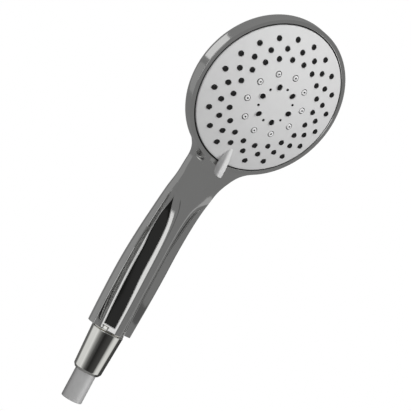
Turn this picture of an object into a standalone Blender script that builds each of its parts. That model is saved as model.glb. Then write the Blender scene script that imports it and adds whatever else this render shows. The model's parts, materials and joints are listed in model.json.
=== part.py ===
"""Handheld shower head with a three-way spray selector, modelled as separate pieces.

Units in this file are millimetres and degrees. Two frames are used:
- the handle frame is the world: +Z runs up the handle's straight lower part, -Y is the spray side,
  and the origin lies on the axis of the cone nut, half-way up it;
- the head frame has its origin at the middle of the spray face's nozzle dome rim and +Z along the
  spray direction, so everything inside the head is drawn lying flat.
"""
import math

import bmesh
import bpy
from mathutils import Matrix, Vector

MM = 0.001

# ---------------------------------------------------------------- driving sizes
HEAD_CENTRE = (0.0, -44.1, 218.0)      # where the spray axis crosses the face
FACE_TILT = 10.5                       # how far the spray axis points below level
HEAD_RADIUS = 60.0
RIM_FRONT = -4.1                       # bezel plane, along the spray axis
WALL_BACK = -12.05                     # where the rim's straight wall meets the domed back
DOME_DEPTH = 19.05
HEAD_BORE = 56.8
HEAD_STEP = 10.0                       # degrees between sections of the head
NECK_START = 150.0                     # polar angle, from the top, where the neck leaves the rim
NECK_SHARES = (0.0, 0.3, 0.55, 0.75, 0.9, 1.0)      # points of a front line, as shares of its half-width
FLANK_SHARES = (0.0, 0.3, 0.58, 0.8, 1.0)           # points across a flank of the handle
BACK_POINTS = 5                        # points round each half of the back

HANDLE_END = 18.2                      # height of the handle's lower end
NECK_BASE = 142.0                      # below this height the sections are level
RIDGE_TOP = 131.0                      # where the flanks' scoops have run out
SCOOP_CREASE = 0.8                     # share of the flank at which its scoop is deepest
INLAY_BOTTOM = 22.0
INLAY_TIP = 126.0
INLAY_THICKNESS = 1.5
INLAY_SINK = 0.15
GAP = 0.3                              # clearance between touching pieces

# Outline of the handle and neck: (height, size) pairs.
HALF_WIDTH = ((18.2, 17.5), (42, 18.2), (66, 18.4), (90, 17.8), (113, 17.3), (130, 17.2), (142, 17.3),
              (151, 19.4), (158.5, 21.8), (163.5, 25.2), (167.7, 30.0))
EDGE_FORWARD = ((18.2, 4.7), (66, 5.9), (90, 6.8), (113, 8.9), (130, 11.8), (142, 15.5), (151, 18.6),
                (158.5, 22.6), (163.5, 26.4), (167.7, 30.6))
WALL_FORWARD = ((18.2, -0.4), (66, 0.3), (90, 1.4), (113, 4.2), (130, 6.8), (142, 9.6), (151, 13.0),
                (158, 16.5), (169.1, 22.8))
CENTRE_FORWARD = ((18.2, 14.2), (42, 14.5), (66, 14.7), (113, 14.9), (130, 15.0), (142, 16.8),
                  (151.4, 20.6), (159.8, 29.1))
BACK_FORWARD = ((18.2, -13.6), (42, -13.6), (66, -13.3), (90, -11.4), (113, -8.1), (130, -4.3),
                (142, 0.0), (151, 3.8), (158, 6.8), (165, 8.9), (171.5, 10.0))
RIDGE_SHARE = ((18.2, 0.143), (75, 0.16), (104, 0.2), (115, 0.27), (122, 0.37), (126, 0.5), (129, 0.72),
               (131, 0.93))            # ridge half-width over handle half-width
# Scoop depth over the flank's width.
SCOOP_RATIO = ((18.2, 0.225), (24, 0.29), (34, 0.346), (50, 0.39), (66, 0.4))
# The inlay's two edges, as shares of the flank's width from the ridge.
INLAY_INNER = ((22, 0.13), (37, 0.13), (49, 0.155), (65, 0.2), (86, 0.21), (102, 0.245), (110, 0.305),
               (121, 0.46), (126, 0.52))
INLAY_OUTER = ((22, 0.63), (40, 0.66), (68, 0.69), (84, 0.7), (96, 0.735), (110, 0.74), (118, 0.66),
               (126, 0.54))

# Spray plate and outlets, in the head frame. Angles are counted from the lever's direction.
LEVER_ANGLE = -95.3                    # polar angle of the lever as the object rests
DOME_TOP = 7.6                         # height of the dome that the nozzle tips lie on
DOME_RING = 47.6                       # radius at which that dome has come down to zero
NOZZLE_PROUD = 0.8
PLATE_RADIUS = 56.0
PLATE_THICKNESS = 2.2
SKIRT_BOTTOM = -9.6
SKIRT_INSIDE = 54.0
# Nozzle rings: (radius, angle of the first, number in a full ring, number left out at the lever).
OUTER_RINGS = ((47.6, 0.0, 20, 1), (40.6, 9.0, 20, 0), (33.7, 0.0, 20, 0))
MIST_RADIUS = 23.1
MIST_COUNT = 10
MASSAGE_RADIUS = 13.46
MASSAGE_COUNT = 6
HOLE_RADIUS = 2.4
NOZZLE_RADIUS = 2.05
HOLE_SIDES = 6
PORT_RADIUS = 36.0                     # radius of the manifold's port and the distributor's three
PORT_STEP = 30.0                       # degrees between two settings

# Water path through the neck: (forward, height) points of the tube's axis.
TUBE_ROUTE = ((0, 38), (0, 60), (0.1, 82), (0.9, 100), (2.6, 114), (5.4, 130), (8.6, 142), (12.0, 151),
              (15.4, 159), (19.6, 167))
TUBE_RADIUS = 4.3
TUBE_BORE = 3.2
TUBE_CLEARANCE = 4.65
MANIFOLD_INLET = -14.8                 # the channel's depth in the head frame

NUT_TOP = 16.7
NUT_BOTTOM = -17.0

# ---------------------------------------------------------------- scene set-up
for old in list(bpy.data.objects):
    bpy.data.objects.remove(old, do_unlink=True)

PARTS = bpy.data.collections.new("handheld_shower_head")
CUTTERS = bpy.data.collections.new("cutters")
bpy.context.scene.collection.children.link(PARTS)
bpy.context.scene.collection.children.link(CUTTERS)

HEAD_FRAME = bpy.data.objects.new("head_frame", None)
HEAD_FRAME.location = Vector(HEAD_CENTRE) * MM
HEAD_FRAME.rotation_euler = (math.radians(90 + FACE_TILT), 0, 0)
SELECTOR_AXIS = bpy.data.objects.new("selector_axis", None)
SELECTOR_AXIS.location = HEAD_FRAME.location
SELECTOR_AXIS.rotation_euler = HEAD_FRAME.rotation_euler
PARTS.objects.link(HEAD_FRAME)
PARTS.objects.link(SELECTOR_AXIS)
bpy.context.view_layer.update()


def material(name, colour, roughness, metallic):
    made = bpy.data.materials.new(name)
    made.use_nodes = True
    shader = made.node_tree.nodes["Principled BSDF"]
    shader.inputs["Base Color"].default_value = (*colour, 1.0)
    shader.inputs["Roughness"].default_value = roughness
    shader.inputs["Metallic"].default_value = metallic
    made.diffuse_color = (*colour, 1.0)
    return made


CHROME = material("chrome", (0.72, 0.73, 0.75), 0.06, 1.0)
PLATE_GREY = material("plate_grey", (0.62, 0.63, 0.64), 0.4, 0.0)
NOZZLE_RUBBER = material("nozzle_rubber", (0.02, 0.02, 0.022), 0.55, 0.0)
GLOSS_BLACK = material("gloss_black", (0.012, 0.012, 0.012), 0.12, 0.0)
INNER_WHITE = material("inner_acetal", (0.8, 0.8, 0.77), 0.45, 0.0)
BRASS = material("brass", (0.62, 0.48, 0.2), 0.3, 1.0)
STEEL = material("steel", (0.55, 0.55, 0.56), 0.28, 1.0)
SEAL_RUBBER = material("seal_rubber", (0.03, 0.03, 0.03), 0.6, 0.0)
MIST_STEEL = material("mist_grey", (0.5, 0.5, 0.5), 0.3, 0.0)


# ---------------------------------------------------------------- shape helpers
def curve_value(pairs, at):
    """Smooth value between (place, value) pairs, by a cubic through them."""
    places = [pair[0] for pair in pairs]
    values = [pair[1] for pair in pairs]
    if at <= places[0]:
        return values[0]
    if at >= places[-1]:
        return values[-1]
    i = max(k for k in range(len(places) - 1) if places[k] <= at)

    def slope(k):
        low = max(k - 1, 0)
        high = min(k + 1, len(places) - 1)
        return (values[high] - values[low]) / (places[high] - places[low])

    span = places[i + 1] - places[i]
    t = (at - places[i]) / span
    return ((2 * t**3 - 3 * t**2 + 1) * values[i] + (t**3 - 2 * t**2 + t) * span * slope(i)
            + (3 * t**2 - 2 * t**3) * values[i + 1] + (t**3 - t**2) * span * slope(i + 1))


def ease(value, low, high):
    """0 below low, 1 above high, smooth between."""
    t = min(max((value - low) / (high - low), 0.0), 1.0)
    return t * t * (3 - 2 * t)


def head_to_world(x, y, z):
    """A point of the head frame, as (side, forward, height) in the world."""
    tilt = math.radians(FACE_TILT)
    forward = -HEAD_CENTRE[1] + math.sin(tilt) * y + math.cos(tilt) * z
    height = HEAD_CENTRE[2] + math.cos(tilt) * y - math.sin(tilt) * z
    return x, forward, height


def add_object(name, mesh, collection=PARTS, parent=None, surface=None):
    made = bpy.data.objects.new(name, mesh)
    collection.objects.link(made)
    if parent is not None:
        made.parent = parent
    if surface is not None:
        mesh.materials.append(surface)
    if collection is CUTTERS:
        made.hide_render = True
        made.display_type = "WIRE"
    return made


def finish_mesh(name, body):
    """Turn a bmesh in millimetres into a mesh in metres, its faces pointing out."""
    bmesh.ops.recalc_face_normals(body, faces=body.faces)
    bmesh.ops.scale(body, vec=(MM, MM, MM), verts=body.verts)
    mesh = bpy.data.meshes.new(name)
    body.to_mesh(mesh)
    body.free()
    mesh.shade_smooth()
    mesh.set_sharp_from_angle(angle=math.radians(35))
    return mesh


def loft(name, rings):
    """A closed body through rings of equal length, with flat ends. Points are (side, forward, height)."""
    body = bmesh.new()
    rows = []
    for ring in rings:
        rows.append([body.verts.new((side, -forward, height)) for side, forward, height in ring])
    count = len(rows[0])
    for lower, upper in zip(rows, rows[1:]):
        for k in range(count):
            body.faces.new((lower[k], lower[(k + 1) % count], upper[(k + 1) % count], upper[k]))
    body.faces.new(rows[0])
    body.faces.new(list(reversed(rows[-1])))
    return finish_mesh(name, body)


def turned(name, profile, surface=None, parent=None, collection=PARTS, segments=32, ring=False, place=None):
    """Turn a profile of (radius, height) points round Z. A ring's profile closes on itself."""
    mesh = bpy.data.meshes.new(name)
    points = [(radius * MM, 0.0, height * MM) for radius, height in profile]
    edges = [(k, k + 1) for k in range(len(points) - 1)]
    if ring:
        edges.append((len(points) - 1, 0))
    mesh.from_pydata(points, edges, [])
    made = add_object(name, mesh, collection, parent, surface)
    if place is not None:
        made.location = Vector(place) * MM
    screw = made.modifiers.new("turn", "SCREW")
    screw.steps = segments
    screw.render_steps = segments
    screw.use_merge_vertices = True
    screw.merge_threshold = 0.00001
    screw.use_smooth_shade = True
    return made


def boolean(target, cutter, operation="DIFFERENCE"):
    change = target.modifiers.new(operation.lower(), "BOOLEAN")
    change.operation = operation
    change.object = cutter
    change.solver = "EXACT"
    return change


def posts(name, places, radius, sides=HOLE_SIDES, surface=None, parent=SELECTOR_AXIS, collection=CUTTERS,
          tip_radius=None):
    """Upright prisms, one for each (x, y, bottom, top), as one cutter object."""
    body = bmesh.new()
    for x, y, bottom, top in places:
        turn = Matrix.Rotation(math.atan2(y, x), 4, "Z")
        bmesh.ops.create_cone(
            body, cap_ends=True, segments=sides, radius1=radius,
            radius2=radius if tip_radius is None else tip_radius, depth=top - bottom,
            matrix=Matrix.Translation((x, y, (bottom + top) / 2)) @ turn)
    return add_object(name, finish_mesh(name, body), collection, parent, surface)


def polar(radius, degrees):
    return radius * math.cos(math.radians(degrees)), radius * math.sin(math.radians(degrees))


def swept(name, route, radius, surface=None, collection=PARTS, resolution=3):
    """A round bar along (side, forward, height) points, made a mesh with welded caps."""
    path = bpy.data.curves.new(name, "CURVE")
    path.dimensions = "3D"
    path.bevel_depth = radius * MM
    path.bevel_resolution = resolution
    path.use_fill_caps = True
    spline = path.splines.new("POLY")
    spline.points.add(len(route) - 1)
    for point, (side, forward, height) in zip(spline.points, route):
        point.co = (side * MM, -forward * MM, height * MM, 1.0)
    guide = bpy.data.objects.new(name + "_path", path)
    CUTTERS.objects.link(guide)
    bpy.context.view_layer.update()
    mesh = bpy.data.meshes.new_from_object(guide.evaluated_get(bpy.context.evaluated_depsgraph_get()))
    bpy.data.objects.remove(guide, do_unlink=True)
    body = bmesh.new()
    body.from_mesh(mesh)
    bmesh.ops.remove_doubles(body, verts=body.verts, dist=0.00001)
    bmesh.ops.recalc_face_normals(body, faces=body.faces)
    body.to_mesh(mesh)
    body.free()
    mesh.name = name
    mesh.materials.clear()
    return add_object(name, mesh, collection, None, surface)


# ---------------------------------------------------------------- outer form of the handle and head
def arch_share(share):
    """How far a front line has dropped at this share of its half-width: an arc of the head's rim."""
    reach = math.sin(math.radians(180 - NECK_START))
    return (1 - math.sqrt(1 - (share * reach)**2)) / (1 - math.sqrt(1 - reach**2))


def arch_point(height, share):
    """A point of the handle's front before the flanks are scooped out of it."""
    centre = curve_value(CENTRE_FORWARD, height)
    edge = curve_value(EDGE_FORWARD, height)
    return curve_value(HALF_WIDTH, height) * share, centre + (edge - centre) * arch_share(share), height


def flank_point(height, share, depth=0.0):
    """A point on a flank: share runs from the ridge (0) to the side edge (1), depth goes inwards."""
    ridge = Vector(arch_point(height, curve_value(RIDGE_SHARE, height))[:2])
    edge = Vector(arch_point(height, 1.0)[:2])
    across = (edge - ridge).normalized()
    inward = Vector((across.y, -across.x))
    deepest = curve_value(SCOOP_RATIO, height) * (edge - ridge).length
    scoop = deepest * min(share / SCOOP_CREASE, (1 - share) / (1 - SCOOP_CREASE))
    place = ridge + (edge - ridge) * share + inward * (depth + scoop)
    return place.x, place.y, height


def back_points(width, start, end, power, count=BACK_POINTS):
    """Points from the side wall (start) round to the middle of the back (end)."""
    points = []
    for k in range(1, count + 1):
        angle = math.radians(90 * k / (count + 1))
        around = math.cos(angle)**(2 / power)
        inward = math.sin(angle)**(2 / power)
        points.append((width * around, start[0] + (end[0] - start[0]) * inward,
                       start[1] + (end[1] - start[1]) * inward))
    points.append((0.0, end[0], end[1]))
    return points


def mirrored(half):
    """Close a half section, which runs from the front middle to the back middle, into a ring."""
    return half + [(-side, forward, height) for side, forward, height in reversed(half[1:-1])]


def head_section(angle):
    """A section across the head at this polar angle from its top."""
    y = HEAD_RADIUS * math.cos(math.radians(angle))
    width = HEAD_RADIUS * math.sin(math.radians(angle))
    bulge = HEAD_RADIUS * (1 + math.cos(math.radians(NECK_START))) * ease(angle, 95, NECK_START)
    half = []
    for share in NECK_SHARES:
        drop = bulge * (1 - arch_share(share))
        half.append(head_to_world(width * share, y - drop, RIM_FRONT))
    half.append(head_to_world(width, y, WALL_BACK))
    depth = DOME_DEPTH * math.sqrt(1 - (y / HEAD_RADIUS)**2)
    depth += 3.5 * max((-25 - y) / 27, 0.0)**3.4
    for k in range(1, BACK_POINTS + 2):
        turn = math.radians(90 * k / (BACK_POINTS + 1))
        half.append(head_to_world(width * max(math.cos(turn), 0.0), y, WALL_BACK - depth * math.sin(turn)))
    half[-1] = (0.0, half[-1][1], half[-1][2])
    return mirrored(half)


def neck_section(share):
    """A section of the neck: share is 0 where it leaves the rim and 1 where sections become level."""
    centre_height = 159.8 + (NECK_BASE - 159.8) * share
    edge_height = 167.7 + (NECK_BASE - 167.7) * share
    wall_height = 169.1 + (NECK_BASE - 169.1) * share
    back_height = 171.5 + (NECK_BASE - 171.5) * share
    width = curve_value(HALF_WIDTH, edge_height)
    centre = curve_value(CENTRE_FORWARD, centre_height)
    edge = curve_value(EDGE_FORWARD, edge_height)
    half = []
    for part in NECK_SHARES:
        drop = arch_share(part)
        half.append((width * part, centre + (edge - centre) * drop,
                     centre_height + (edge_height - centre_height) * drop))
    wall = (curve_value(WALL_FORWARD, wall_height), wall_height)
    back = (curve_value(BACK_FORWARD, back_height), back_height)
    half.append((width, *wall))
    half += back_points(width, wall, back, 2.0 + 0.1 * share)
    return mirrored(half)


def handle_section(height):
    """A level section of the handle: below RIDGE_TOP its flanks are scooped out on both sides of a ridge."""
    if height < RIDGE_TOP:
        half = [arch_point(height, 0.0)] + [flank_point(height, share) for share in FLANK_SHARES]
    else:
        half = [arch_point(height, share) for share in NECK_SHARES]
    width = curve_value(HALF_WIDTH, height)
    wall = (curve_value(WALL_FORWARD, height), height)
    half.append((width, *wall))
    half += back_points(width, wall, (curve_value(BACK_FORWARD, height), height), 2.1)
    return mirrored(half)


def tube_route(extend=0.0):
    """The tube's axis from the inlet spigot to the manifold."""
    route = [(0.0, forward, height) for forward, height in TUBE_ROUTE]
    route.append(head_to_world(0.0, -50.0, MANIFOLD_INLET))
    route.append(head_to_world(0.0, -42.2 + extend, MANIFOLD_INLET))
    return route


def make_handle_shell():
    steps = round(NECK_START / HEAD_STEP)
    rings = [head_section(max(HEAD_STEP * k, 1.0)) for k in range(steps + 1)]
    rings += [neck_section(share) for share in (0.16, 0.36, 0.62)]
    levels = (NECK_BASE, 136, RIDGE_TOP, 129.5, 126, 121, 114, 104, 90, 66, 50, 34, 24, HANDLE_END)
    rings += [handle_section(height) for height in levels]
    shell = add_object("handle_shell", loft("handle_shell", rings), surface=CHROME)
    outline = [(0, 10), (HEAD_BORE, 10), (HEAD_BORE, -11.5), (53, -17), (46, -20.5), (0, -20.5)]
    cavity = turned("head_cavity", outline, parent=HEAD_FRAME, collection=CUTTERS, segments=64)
    boolean(shell, cavity)
    bore = swept("neck_bore", tube_route(4.0), TUBE_CLEARANCE, collection=CUTTERS)
    boolean(shell, bore)
    socket = turned("spigot_socket", [(0, 44), (9.1, 44), (9.1, 20.5), (11.5, 20.5), (11.5, 16), (0, 16)],
                    collection=CUTTERS)
    boolean(shell, socket)
    for side, label in ((-1, "left"), (1, "right")):
        name = "pocket_" + label
        boolean(shell, add_object(name, inlay_mesh(name, side, GAP, -1.5, INLAY_THICKNESS + GAP), CUTTERS))
    return shell


# ---------------------------------------------------------------- flank inlays
def inlay_mesh(name, side, grow, top, bottom):
    """A strip that follows the flank, from a square lower end to a pointed tip."""
    rings = []
    for height in (INLAY_BOTTOM - grow, 34, 50, 66, 84, 96, 104, 110, 116, 121, INLAY_TIP + grow):
        ridge = curve_value(RIDGE_SHARE, height)
        spread = grow / (curve_value(HALF_WIDTH, height) * (1 - ridge))
        low = curve_value(INLAY_INNER, height) - spread
        high = curve_value(INLAY_OUTER, height) + spread
        ring = [flank_point(height, low, top + INLAY_SINK), flank_point(height, high, top + INLAY_SINK),
                flank_point(height, high, bottom + INLAY_SINK), flank_point(height, low, bottom + INLAY_SINK)]
        rings.append([(side * x, forward, z) for x, forward, z in ring])
    return loft(name, rings)


def make_inlays():
    for side, label in ((-1, "left"), (1, "right")):
        name = "side_inlay_" + label
        add_object(name, inlay_mesh(name, side, 0.0, 0.0, INLAY_THICKNESS), surface=GLOSS_BLACK)


# ---------------------------------------------------------------- spray face
def plate_top(radius):
    return DOME_TOP * (1 - (radius / DOME_RING)**2) - NOZZLE_PROUD


def dome_profile(radii, drop):
    return [(radius, plate_top(radius) - drop) for radius in radii]


def outer_nozzles():
    """Places of the rubber nozzles; one of the outermost is left out where the lever springs."""
    return [(radius, LEVER_ANGLE + start + 360 / count * k) for radius, start, count, left_out in OUTER_RINGS
            for k in range(left_out, count)]


def mist_places():
    return [(MIST_RADIUS, LEVER_ANGLE + 360 / MIST_COUNT * k) for k in range(MIST_COUNT)]


def lever_mesh(name):
    """The selector lever: stations of (along, half width, top, bottom) joined by rounded sections."""
    stations = ((43.5, 2.0, 0.6, -1.2), (46.5, 2.6, 2.1, -1.8), (50.5, 3.2, 3.2, -2.8),
                (54.5, 3.7, 4.0, -3.5), (58.0, 3.9, 4.5, -3.0), (61.5, 3.8, 4.9, -2.2),
                (64.2, 3.0, 4.8, -0.9), (65.6, 1.8, 4.2, 0.6))
    turn = Matrix.Rotation(math.radians(LEVER_ANGLE), 3, "Z")
    rings = []
    for along, half, top, bottom in stations:
        middle = -1.05 + 0.15 * (along - 44.5)
        corner = min(1.2, (top - bottom) / 3, half / 2)
        outline = ((half, bottom + corner), (half, top - corner), (half - corner, top),
                   (corner - half, top), (-half, top - corner), (-half, bottom + corner),
                   (corner - half, bottom), (half - corner, bottom))
        ring = []
        for across, z in outline:
            point = turn @ Vector((along, middle + across, z))
            ring.append((point.x, -point.y, point.z))
        rings.append(ring)
    return loft(name, rings)


def make_spray_plate():
    top = dome_profile((0.001, 20, 33, 44, 51), 0.0)
    top[0] = (0.0, plate_top(0))
    skirt = [(55.3, plate_top(55.3)), (PLATE_RADIUS, plate_top(PLATE_RADIUS) - 0.6),
             (PLATE_RADIUS, SKIRT_BOTTOM), (SKIRT_INSIDE, SKIRT_BOTTOM),
             (SKIRT_INSIDE, plate_top(SKIRT_INSIDE) - PLATE_THICKNESS)]
    under = list(reversed(dome_profile((0.0, 22, 40), PLATE_THICKNESS)))
    plate = turned("spray_plate", top + skirt + under, PLATE_GREY, SELECTOR_AXIS, segments=40)
    lever = add_object("lever_blank", lever_mesh("lever_blank"), CUTTERS, SELECTOR_AXIS)
    boolean(plate, lever, "UNION")
    round_holes = [(*polar(radius, angle), plate_top(radius) - 8, plate_top(radius) + 4)
                   for radius, angle in outer_nozzles() + mist_places()]
    boolean(plate, posts("nozzle_holes", round_holes, HOLE_RADIUS))
    small = []
    for k in range(MASSAGE_COUNT):
        small.append((*polar(MASSAGE_RADIUS, LEVER_ANGLE + 60 * k), 0.0, 12.0))
    boolean(plate, posts("jet_holes", small, 0.7, 6))
    slots = []
    for k in range(MASSAGE_COUNT):
        slots.append((*polar(MASSAGE_RADIUS, LEVER_ANGLE + 30 + 60 * k), 0.0, 12.0))
    boolean(plate, posts("massage_holes", slots, 1.6, 8))


def make_nozzle_mat():
    profile = dome_profile((29.2, 41, 51.5), PLATE_THICKNESS + 2 * GAP)
    profile += list(reversed(dome_profile((29.2, 41, 51.5), PLATE_THICKNESS + 2 * GAP + 1.4)))
    mat = turned("nozzle_mat", profile, NOZZLE_RUBBER, SELECTOR_AXIS, segments=32, ring=True)
    places = []
    for radius, angle in outer_nozzles():
        tip = plate_top(radius) + NOZZLE_PROUD
        places.append((*polar(radius, angle), tip - 4.2, tip))
    boolean(mat, posts("nozzle_posts", places, NOZZLE_RADIUS, tip_radius=1.75), "UNION")


def make_mist_inserts():
    top = plate_top(MIST_RADIUS)
    under = top - PLATE_THICKNESS - 2.2 * GAP
    profile = [(0, top + 0.8), (1.75, top + 0.8), (2.0, top + 0.5), (2.0, under), (2.8, under),
               (2.8, under - 1.0), (0, under - 1.0)]
    for number, (radius, angle) in enumerate(mist_places(), 1):
        turned(f"mist_insert_{number:02d}", profile, MIST_STEEL, SELECTOR_AXIS, segments=8,
               place=(*polar(radius, angle), 0))


# ---------------------------------------------------------------- works inside the head
def head_box(name, low, high, angle):
    """A cutter box given by its low and high corners, turned about the spray axis."""
    body = bmesh.new()
    size = Vector(high) - Vector(low)
    middle = (Vector(high) + Vector(low)) / 2
    bmesh.ops.create_cube(body, size=1.0, matrix=Matrix.Rotation(math.radians(angle), 4, "Z")
                          @ Matrix.Translation(middle) @ Matrix.Diagonal((*size, 1.0)))
    return add_object(name, finish_mesh(name, body), CUTTERS, SELECTOR_AXIS)


def make_distributor():
    profile = [(5.9, -6.9), (18, -6.9), (18, 3.1), (19.2, 3.1), (19.2, -6.9), (27, -6.9), (27, 1.6),
               (28.5, 1.6), (28.5, -6.9), (53.6, -6.9), (53.6, -8.9), (5.9, -8.9)]
    disc = turned("distributor", profile, INNER_WHITE, SELECTOR_AXIS, segments=32, ring=True)
    mist_side = LEVER_ANGLE + PORT_STEP
    massage_side = LEVER_ANGLE - PORT_STEP
    for label, inner, angle in (("mist", 22.0, mist_side), ("massage", 16.5, massage_side)):
        boolean(disc, head_box(label + "_duct", (inner, -4.6, -7.6), (41.2, 4.6, -3.5), angle), "UNION")
    for label, inner, angle in (("mist", 22.0, mist_side), ("massage", 16.5, massage_side)):
        boolean(disc, head_box(label + "_duct_core", (inner - 1, -3.4, -6.85), (40.0, 3.4, -4.7), angle))
    ports = [(*polar(PORT_RADIUS, LEVER_ANGLE + turn), -12.0, -6.0) for turn in (-PORT_STEP, 0.0, PORT_STEP)]
    boolean(disc, posts("distributor_ports", ports, 3.2, 12))


def make_manifold():
    handle_angle = -90.0
    profile = [(5.5, -6.75), (5.5, -9.4), (46, -9.4), (46, -18), (0, -18), (0, -17), (2.2, -17),
               (2.2, -6.75)]
    disc = turned("manifold", profile, INNER_WHITE, HEAD_FRAME, segments=40, ring=True)
    boss_route = [head_to_world(0, -47, MANIFOLD_INLET), head_to_world(0, -28, MANIFOLD_INLET)]
    boolean(disc, swept("manifold_boss", boss_route, 5.35, collection=CUTTERS), "UNION")
    channel = [head_to_world(0, -48, MANIFOLD_INLET), head_to_world(0, -33, MANIFOLD_INLET)]
    boolean(disc, swept("manifold_channel", channel, TUBE_BORE, collection=CUTTERS))
    mouth = [head_to_world(0, -52, MANIFOLD_INLET), head_to_world(0, -41.9, MANIFOLD_INLET)]
    boolean(disc, swept("manifold_mouth", mouth, TUBE_CLEARANCE, collection=CUTTERS))
    port = polar(PORT_RADIUS, handle_angle)
    boolean(disc, posts("manifold_port", [(*port, MANIFOLD_INLET, -8.0)], TUBE_BORE, 12, parent=HEAD_FRAME))
    boolean(disc, posts("manifold_seat", [(*port, -11.5, -8.0)], 5.7, 16, parent=HEAD_FRAME))
    boolean(disc, posts("detent_hole", [(0, 40, -17.3, -8.0)], 1.9, 10, parent=HEAD_FRAME))
    turned("port_seal", [(5.35, -9.2), (5.35, -11.2), (3.6, -11.2), (3.6, -9.2)], SEAL_RUBBER, HEAD_FRAME,
           segments=20, ring=True, place=(*port, 0))


def make_pivot():
    washer = [(9, -5.2), (9, -6.4), (2.4, -6.4), (2.4, -5.2)]
    turned("pivot_washer", washer, STEEL, HEAD_FRAME, segments=20, ring=True)
    screw = [(0, -3.0), (3.6, -3.0), (4.4, -3.6), (4.4, -4.9), (1.9, -4.9), (1.9, -14.5), (1.2, -15.5),
             (0, -15.5)]
    turned("pivot_screw", screw, STEEL, HEAD_FRAME, segments=16)


def make_turbine():
    hub = turned("turbine", [(4.5, 2.8), (4.5, -1.5), (2.6, -1.5), (2.6, 2.8)], INNER_WHITE, SELECTOR_AXIS,
                 segments=16, ring=True)
    for k in range(6):
        blade = head_box(f"turbine_blade_{k + 1}", (3.8, -0.6, -1.2), (15.5, 0.6, 2.5), 60 * k)
        boolean(hub, blade, "UNION")
    turned("turbine_axle", [(0, 4.3), (2.2, 4.3), (2.2, -2.2), (3.6, -2.2), (3.6, -2.7), (0, -2.7)], STEEL,
           SELECTOR_AXIS, segments=16)


def torus(name, major, minor, height, surface, parent=None, around=32, across=6):
    bpy.ops.mesh.primitive_torus_add(major_segments=around, minor_segments=across, major_radius=major * MM,
                                     minor_radius=minor * MM)
    made = bpy.context.object
    made.name = name
    for home in list(made.users_collection):
        home.objects.unlink(made)
    PARTS.objects.link(made)
    made.location = (0, 0, height * MM)
    made.parent = parent
    made.data.materials.append(surface)
    made.data.shade_smooth()
    return made


def helix(radius, bottom, top, turns, per_turn, centre=(0.0, 0.0)):
    points = []
    steps = int(turns * per_turn)
    for k in range(steps + 1):
        x, y = polar(radius, 360 * k / per_turn)
        points.append((centre[0] + x, centre[1] + y, bottom + (top - bottom) * k / steps))
    return points


def make_detent():
    turned("detent_pin", [(0, -9.2), (0.8, -9.2), (1.55, -9.9), (1.55, -13.0), (0, -13.0)], STEEL, HEAD_FRAME,
           segments=10, place=(0, 40, 0))
    coil = [head_to_world(*point) for point in helix(1.15, -16.6, -14.3, 3, 8, (0.0, 40.0))]
    swept("detent_spring", coil, 0.28, STEEL, resolution=1)


# ---------------------------------------------------------------- inlet, check valve and hose end
def make_inlet():
    spigot = [(10.2, NUT_TOP), (10.4, 16.0), (10.4, 7.4), (9.9, 6.8), (7.3, 6.8), (7.3, 24), (6.3, 24),
              (6.3, 36), (4.65, 36), (4.65, 43.7), (8.8, 43.7), (8.8, NUT_TOP)]
    turned("inlet_spigot", spigot, BRASS, segments=24, ring=True)
    collar = [(9.1, 20.2), (11.2, 20.2), (11.2, 17.9), (12.3, 17.9), (12.3, 17.0), (9.1, 17.0)]
    turned("end_collar", collar, CHROME, segments=28, ring=True)
    regulator = [(0, 22.0), (3.4, 22.0), (4.2, 23.7), (7.0, 23.7), (7.0, 21.0), (0, 21.0)]
    turned("flow_regulator", regulator, GLOSS_BLACK, segments=20)
    holes = [(*polar(5.6, 60 * k), 20.0, 25.0) for k in range(6)]
    boolean(bpy.data.objects["flow_regulator"], posts("regulator_holes", holes, 0.6, 6, parent=None))
    dish = [(0, 9.6), (6.2, 9.0), (7.0, 9.0), (7.0, 8.2), (6.2, 8.2), (0, 8.8)]
    screen = turned("filter_screen", dish, STEEL, segments=20)
    mesh_holes = [(0.0, 0.0, 7.0, 11.0)]
    mesh_holes += [(*polar(2.4, 60 * k), 7.0, 11.0) for k in range(6)]
    mesh_holes += [(*polar(4.7, 60 * k + 30), 7.0, 11.0) for k in range(6)]
    boolean(screen, posts("screen_holes", mesh_holes, 0.7, 4, parent=None))
    turned("check_valve_body", [(6.0, 34.5), (6.0, 24.3), (3.0, 24.3), (3.0, 26.0), (4.6, 26.0), (4.6, 33.3),
                                (2.4, 33.3), (2.4, 34.5)], INNER_WHITE, segments=20, ring=True)
    turned("check_valve_poppet", [(0, 33.0), (1.4, 33.0), (1.4, 27.8), (4.2, 27.8), (4.2, 26.3), (0, 26.3)],
           GLOSS_BLACK, segments=16)
    swept("check_valve_spring", helix(3.1, 28.5, 32.6, 3.5, 8), 0.3, STEEL, resolution=1)


def make_waterway():
    tube = swept("waterway_tube", tube_route(), TUBE_RADIUS, INNER_WHITE)
    core = tube_route(4.0)
    core[0] = (0.0, 0.0, 34.0)
    boolean(tube, swept("waterway_core", core, TUBE_BORE, collection=CUTTERS))


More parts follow.
